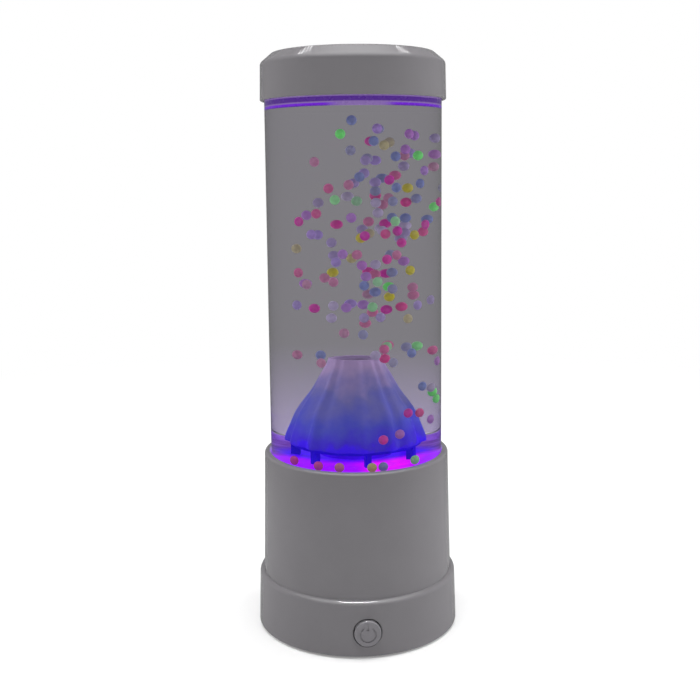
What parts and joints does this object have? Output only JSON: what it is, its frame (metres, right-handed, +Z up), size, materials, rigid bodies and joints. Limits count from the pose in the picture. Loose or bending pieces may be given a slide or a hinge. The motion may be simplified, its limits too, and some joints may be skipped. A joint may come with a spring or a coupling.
{
  "type": "mood lamp",
  "caption": "Water-column mood lamp: clear tube on a round base with a push button, a cap, and a pump that blows coloured beads up through a small mountain.",
  "frame": {"origin": "on the surface that the feet stand on, under the middle of the lamp", "axes": "+Z up along the tube's axis; the power button faces -Y and the power inlet faces +Y"},
  "size_m": [0.1056, 0.1073, 0.2973],
  "materials": {
    "shell_plastic": "glossy moulded light-grey plastic",
    "cover_plastic": "fine-textured grey plastic",
    "button_plastic": "glossy grey plastic with an engraved power sign",
    "black_rubber": "matt black rubber",
    "seal_rubber": "silicone rubber",
    "zinc_steel": "zinc-plated steel",
    "polished_steel": "ground steel",
    "rotor_steel": "stamped steel laminations",
    "nickel_pin": "nickel-plated brass",
    "bronze_bush": "sintered bronze",
    "magnet_ferrite": "sintered ferrite",
    "magnet_nickel": "nickel-plated magnet",
    "black_plastic": "black moulded plastic",
    "white_nylon": "white nylon",
    "circuit_board": "green solder mask",
    "white_board": "white solder mask",
    "led_lens": "lit violet light package",
    "clear_acrylic": "clear acrylic",
    "lid_plastic": "translucent lid lit violet",
    "stand_plastic": "translucent plastic lit violet-blue",
    "riser_plastic": "translucent plastic",
    "mountain_resin": "translucent white resin lit lilac to blue",
    "lead_sheath": "black lead sheath",
    "bead_pink": "pink bead",
    "bead_lilac": "lilac bead",
    "bead_blue": "blue bead",
    "bead_green": "green bead",
    "bead_white": "white bead",
    "bead_yellow": "yellow bead"
  },
  "bodies": {
    "root": {"axle_clip": "polished_steel", "base_housing": "shell_plastic", "base_skirt": "shell_plastic", "beads_blue": "bead_blue", "beads_green": "bead_green", "beads_lilac": "bead_lilac", "beads_pink": "bead_pink", "beads_white": "bead_white", "beads_yellow": "bead_yellow", "board_components": "black_plastic", "board_screws": "zinc_steel", "bottom_cover": "cover_plastic", "bracket_screws": "zinc_steel", "control_board": "circuit_board", "cover_screws": "zinc_steel", "impeller_axle": "polished_steel", "inlet_lead": "lead_sheath", "inlet_nut": "nickel_pin", "inlet_pin": "nickel_pin", "led_board": "white_board", "led_board_screws": "zinc_steel", "led_chips": "led_lens", "led_lead": "lead_sheath", "motor_bracket": "black_plastic", "motor_bushes": "bronze_bush", "motor_can": "zinc_steel", "motor_damper": "black_rubber", "motor_end_cap": "white_nylon", "motor_leads": "lead_sheath", "motor_magnets": "magnet_ferrite", "motor_terminals": "bronze_bush", "mountain": "mountain_resin", "mountain_stand": "stand_plastic", "power_inlet": "black_plastic", "riser_tube": "riser_plastic", "rubber_feet": "black_rubber", "switch_body": "black_plastic", "tank_floor": "clear_acrylic", "tank_seat_ring": "black_rubber", "tank_tube": "clear_acrylic"},
    "cap": {"top_cap": "shell_plastic", "inner_lid": "lid_plastic", "lid_seal": "seal_rubber"},
    "button": {"power_button": "button_plastic", "switch_plunger": "black_plastic"},
    "drive": {"magnet_holder": "white_nylon", "motor_shaft": "polished_steel", "motor_rotor": "rotor_steel", "drive_magnets": "magnet_nickel"},
    "impeller": {"impeller": "white_nylon", "impeller_magnets": "magnet_nickel", "impeller_bush": "bronze_bush"}
  },
  "joints": [
    {"name": "cap_lift", "type": "slide", "parent": "root", "child": "cap", "axis": [0, 0, 1], "range_m": [0, 0.08]},
    {"name": "button_press", "type": "slide", "parent": "root", "child": "button", "axis": [0, 1, 0], "range_m": [0, 0.0008], "stiffness_N_per_m": 1500},
    {"name": "motor_spin", "type": "hinge", "parent": "root", "child": "drive", "pos_m": [0, 0, 0.08], "axis": [0, 0, 1], "continuous": true},
    {"name": "impeller_spin", "type": "hinge", "parent": "root", "child": "impeller", "pos_m": [0, 0, 0.095], "axis": [0, 0, 1], "continuous": true}
  ],
  "couplings": [
    {"joint": "impeller_spin", "follows": "motor_spin", "ratio": 1}
  ]
}
